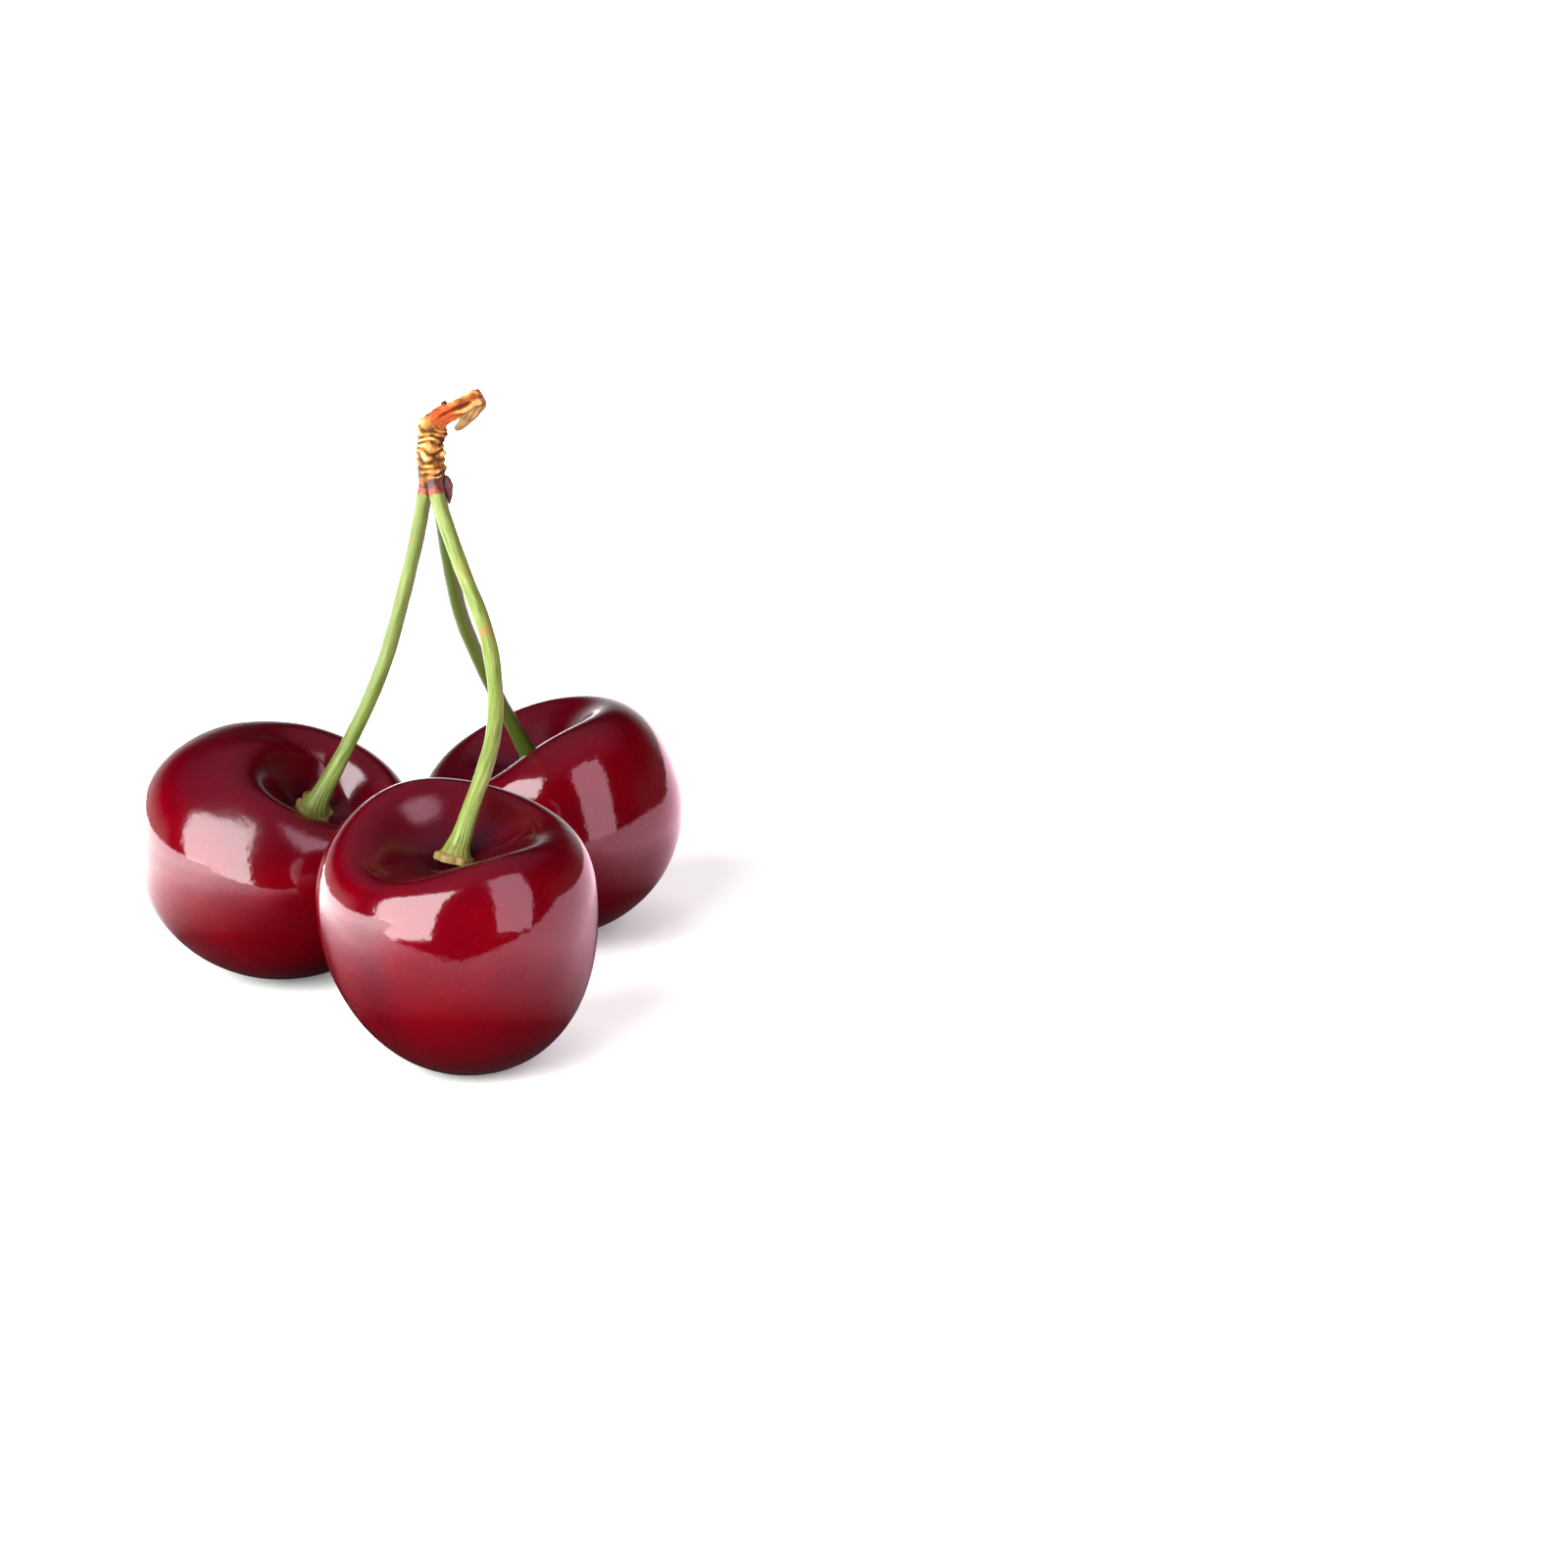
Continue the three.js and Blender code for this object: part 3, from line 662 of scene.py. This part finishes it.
def makeStrip(name, shape):
    # a flat tube along a route: its half width is one size across and another through, narrowing to
    # its end, with fibres along it
    route, run = routeThrough(shape["route"], 80)
    route += partShift
    across, up, angle = alongRoute(route, run, shape["side"], 40)
    along = (run / run[-1])[:, None]
    narrow = (1 - shape["narrowing"] * along**1.5) * np.sqrt(np.clip(1 - (2 * along - 1) ** 8, 0, 1))
    circle = shape["through"] * np.cos(angle)[..., None] * across[:, None] \
        + shape["across"] * np.sin(angle)[..., None] * up[:, None]
    place = route[:, None] + circle
    rows = place + circle * (narrow - 1)[..., None]
    rows = rows + 0.10 * waves(place, 0.9, shape["seed"])[..., None] * circle
    one = np.ones_like(angle * along)
    streaks = np.cos(9 * angle + 2 * waves(place, 2.0, shape["seed"] + 1))
    rows = rows + shape["fibre"] * streaks[..., None] * circle
    # the raised fibres are marked paler: a painted highlight over the bark's own tone
    marks = dict(ridgeToneAndShadeMark=shape["ridge"] * (1 + streaks) * one, tornMark=0 * one, dryMark=shape["dry"] * one)
    makePiece(name, "spur", barkMaterial, rows, marks)


makeSpur(spur)
makeStrip("bark_flap", dict(
    route=[(2.5, 19.6, 65.0), (2.0, 19.35, 64.15), (0.95, 19.2, 63.15), (0.0, 19.2, 62.2),
           (-0.55, 19.3, 61.8)],
    across=0.62, through=0.17, narrowing=0.35, fibre=0.05, ridge=0.35, dry=0.55, side=(0, 1, 0), seed=51))
makeStrip("stub", dict(
    route=[(-1.0, 20, 63.6), (-1.45, 19.9, 64.1), (-1.75, 19.8, 64.6)],
    across=0.42, through=0.4, narrowing=0.2, fibre=0.04, ridge=0.0, dry=0.0, side=(0, 1, 0), seed=52))
print("spur made")


# ---- bud

bud = dict(length=3.1, radius=0.56, at=(-1.5, 20.2, 55.2), lean=(-0.12, 0.1, 1),
           rings=60, around=48, side=(1, 0, 0), seed=61)


def makeBud(shape):
    # a pointed egg: the radius follows sin(t)^0.8, drawn out towards its lower tip
    way = np.array(shape["lean"]) / np.linalg.norm(shape["lean"])
    middle = np.array(shape["at"]) + partShift
    half = shape["length"] / 2 * way
    route = np.linspace(middle + half, middle - half, shape["rings"])
    run = np.linspace(0, shape["length"], shape["rings"])
    across, up, angle = alongRoute(route, run, shape["side"], shape["around"])
    share = (run / shape["length"])[:, None]
    radius = shape["radius"] * np.sin(np.pi * share**0.75) ** 0.8 * (1 + 0.06 * np.cos(3 * angle))
    radius = radius * (1 + 0.05 * waves(route[:, None] + 0 * angle[..., None], 0.8, shape["seed"]))
    rows = route[:, None] + radius[..., None] * circleAcross(across, up, angle)
    makePiece("fine_bud", "bud", huskMaterial, rows, {})


makeBud(bud)
print("bud made")


# ---- floor, lights and surroundings

stage = dict(
    width=4.0, frontEdge=-0.058, bend=(-0.060, -0.070), slant=0.9, depth=2.0,  # metres
    # what the camera sees: a white that glows more from glowFrom to glowTo, and less near a fruit
    seen=(0.83, 0.87, 0.855), seenGlow=0.50, farGlow=1.0, glowFrom=0.08, glowTo=0.30, shadeTo=0.018,
    # what lights the fruit and shows in their skin: its strength near each fruit, farther off and at the left
    near=0.03, clearFrom=0.015, clearTo=0.044, felt=2.9, feltColour=(1, 0.66, 0.79),
    sideGlow=6.5, sideFrom=0.012, sideTo=0.100,
)


def makeFloor(shape):
    # The camera sees a plain white table with soft shade under each fruit, deepened by a painted
    # shadow where its glow fades out. All other rays see a rosy glow in its place, with painted shade near
    # each fruit, and stronger and whiter towards the left.
    material, tree = newMaterial("whiteTable")
    place = addNode(tree, "ShaderNodeTexCoord").outputs["Object"]
    away = addNode(tree, "ShaderNodeVectorMath", dict(operation="LENGTH"), None, {0: place}).outputs["Value"]
    glow = addNode(tree, "ShaderNodeMapRange", None,
                   {"From Min": shape["glowFrom"], "From Max": shape["glowTo"],
                    "To Min": shape["seenGlow"], "To Max": shape["farGlow"]}, {"Value": away}).outputs[0]
    aside = addNode(tree, "ShaderNodeSeparateXYZ", None, None, {0: place}).outputs["X"]
    left = addNode(tree, "ShaderNodeMapRange", None,
                   {"From Min": -shape["sideFrom"], "From Max": -shape["sideTo"],
                    "To Max": shape["sideGlow"]}, {"Value": aside}).outputs[0]
    strength = addNode(tree, "ShaderNodeMath", dict(operation="ADD"), {1: shape["felt"]},
                       {0: left}).outputs[0]
    for name in cherries:
        low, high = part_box(name)
        contact = ((low.x + high.x) / 2, (low.y + high.y) / 2, 0)
        apart = addNode(tree, "ShaderNodeVectorMath", dict(operation="DISTANCE"), {1: contact},
                        {0: place}).outputs["Value"]
        # painted shade: what the fruit see of the floor goes dark near each fruit
        clear = addNode(tree, "ShaderNodeMapRange", None,
                        {"From Min": shape["clearFrom"], "From Max": shape["clearTo"],
                         "To Min": shape["near"]}, {"Value": apart}).outputs[0]
        strength = addNode(tree, "ShaderNodeMath", dict(operation="MULTIPLY"), None,
                           {0: strength, 1: clear}).outputs[0]
        # painted shadow: the table's glow fades out under each fruit
        shadowFade = addNode(tree, "ShaderNodeMapRange", None, {"From Max": shape["shadeTo"]},
                        {"Value": apart}).outputs[0]
        glow = addNode(tree, "ShaderNodeMath", dict(operation="MULTIPLY"), None,
                       {0: glow, 1: shadowFade}).outputs[0]
    table = addNode(tree, "ShaderNodeBsdfPrincipled", None,
                    {"Base Color": (*shape["seen"], 1), "Roughness": 0.9, "Specular IOR Level": 0.0,
                     "Emission Color": (1, 1, 1, 1)}, {"Emission Strength": glow}).outputs[0]
    whiter = addNode(tree, "ShaderNodeMapRange", None,
                     {"From Min": -shape["sideFrom"], "From Max": -shape["sideTo"] / 2},
                     {"Value": aside}).outputs[0]
    shine = addNode(tree, "ShaderNodeMix", dict(data_type="RGBA"),
                    {6: (*shape["feltColour"], 1), 7: (1, 1, 1, 1)}, {0: whiter}).outputs[2]
    felt = addNode(tree, "ShaderNodeEmission", None, None, {"Color": shine, "Strength": strength}).outputs[0]
    ray = addNode(tree, "ShaderNodeLightPath").outputs["Is Camera Ray"]
    both = addNode(tree, "ShaderNodeMixShader", None, None, {0: ray, 1: felt, 2: table}).outputs[0]
    addNode(tree, "ShaderNodeOutputMaterial", None, None, {"Surface": both})
    half, front, behind = shape["width"] / 2, shape["frontEdge"], shape["depth"]
    mesh = bpy.data.meshes.new("table")
    bendX, bendY = shape["bend"]
    corners = [(-half, bendY - shape["slant"] * half, 0), (bendX, bendY, 0), (0, front, 0), (half, front, 0),
               (half, behind, 0), (-half, behind, 0)]
    mesh.from_pydata(corners, [], [range(6)])
    mesh.materials.append(material)
    table = bpy.data.objects.new("table", mesh)
    bpy.context.scene.collection.objects.link(table)


def softbox(name, left, right, low, high, distance, radiance, colour):
    # A rectangular area light that faces the bunch and fills the given angles: left and right are its
    # sides' azimuths, 0 at the front and growing to the right, low and high are elevations.
    azimuth, elevation = (left + right) / 2, (low + high) / 2
    width = 2 * distance * math.tan(math.radians(right - left) / 2)
    height = 2 * distance * math.tan(math.radians(high - low) / 2)
    light = bpy.data.lights.new(name, "AREA")
    light.shape = "RECTANGLE"
    light.size = width
    light.size_y = height
    light.energy = radiance * math.pi * width * height
    light.color = colour
    lamp = bpy.data.objects.new(name, light)
    turn, lift = math.radians(azimuth), math.radians(elevation)
    way = Vector((math.sin(turn) * math.cos(lift), -math.cos(turn) * math.cos(lift), math.sin(lift)))
    middle = Vector((0, 0, 0.015))
    lamp.location = middle + distance * way
    lamp.rotation_euler = way.to_track_quat("Z", "Y").to_euler()
    lamp.visible_camera = False
    bpy.context.scene.collection.objects.link(lamp)


surroundings = dict(
    seen=1.05, dome=0.2, backdrop=1.2, flagged=0.12, dark=0.02, ceiling=0.6,  # strengths
    ceilingTint=(1, 0.45, 0.65, 1),
)


def makeWorld(shape):
    # The camera sees white behind the bunch, and diffuse light comes from a soft grey dome. Reflections
    # see a dark room with a white backdrop behind the bunch, dimmer at the right, and a rosy ceiling.
    world = bpy.data.worlds.new("studio")
    bpy.context.scene.world = world
    world.use_nodes = True
    tree = world.node_tree
    tree.nodes.clear()
    ray = addNode(tree, "ShaderNodeLightPath").outputs
    dome = addNode(tree, "ShaderNodeBackground", None,
                   {"Color": (1, 1, 1, 1), "Strength": shape["dome"]}).outputs[0]
    way = addNode(tree, "ShaderNodeTexCoord").outputs["Generated"]
    parts = addNode(tree, "ShaderNodeSeparateXYZ", None, None, {0: way}).outputs
    behind = addNode(tree, "ShaderNodeMapRange", None, {"From Min": -0.25, "From Max": 0.0},
                     {"Value": parts["Y"]}).outputs[0]
    lowDown = addNode(tree, "ShaderNodeMapRange", None,
                      {"From Min": 0.1, "From Max": 0.4, "To Min": shape["backdrop"], "To Max": 0.0},
                      {"Value": parts["Z"]}).outputs[0]
    backdrop = addNode(tree, "ShaderNodeMath", dict(operation="MULTIPLY"), None,
                       {0: behind, 1: lowDown}).outputs[0]
    flag = addNode(tree, "ShaderNodeMapRange", None,
                   {"From Min": 0.2, "From Max": 0.7, "To Min": 1.0, "To Max": shape["flagged"]},
                   {"Value": parts["X"]}).outputs[0]
    flagged = addNode(tree, "ShaderNodeMath", dict(operation="MULTIPLY"), None,
                      {0: backdrop, 1: flag}).outputs[0]
    overhead = addNode(tree, "ShaderNodeMapRange", None,
                       {"From Min": 0.6, "From Max": 0.95, "To Min": shape["dark"],
                        "To Max": shape["ceiling"]},
                       {"Value": parts["Z"]}).outputs[0]
    mirrored = addNode(tree, "ShaderNodeMath", dict(operation="MAXIMUM"), None,
                       {0: flagged, 1: overhead}).outputs[0]
    warmth = addNode(tree, "ShaderNodeMapRange", None, {"From Min": 0.4, "From Max": 0.6},
                     {"Value": parts["Z"]}).outputs[0]
    tint = addNode(tree, "ShaderNodeMix", dict(data_type="RGBA"),
                   {6: (1, 1, 1, 1), 7: shape["ceilingTint"]}, {0: warmth}).outputs[2]
    dark = addNode(tree, "ShaderNodeBackground", None, None,
                   {"Color": tint, "Strength": mirrored}).outputs[0]
    white = addNode(tree, "ShaderNodeBackground", None,
                    {"Color": (1, 1, 1, 1), "Strength": shape["seen"]}).outputs[0]
    lit = addNode(tree, "ShaderNodeMixShader", None, None,
                  {0: ray["Is Glossy Ray"], 1: dome, 2: dark}).outputs[0]
    seen = addNode(tree, "ShaderNodeMixShader", None, None,
                   {0: ray["Is Camera Ray"], 1: lit, 2: white}).outputs[0]
    addNode(tree, "ShaderNodeOutputWorld", None, None, {"Surface": seen})


makeFloor(stage)
softbox("keyWindow", left=-63, right=-12, low=-20, high=50, distance=0.60, radiance=14.0,
        colour=(0.985, 1.0, 0.965))
softbox("fillWindow", left=29, right=62, low=-18, high=50, distance=0.60, radiance=4.6,
        colour=(1, 0.72, 0.84))
makeWorld(surroundings)
bpy.context.scene.view_settings.view_transform = "Standard"
print("stage ready")
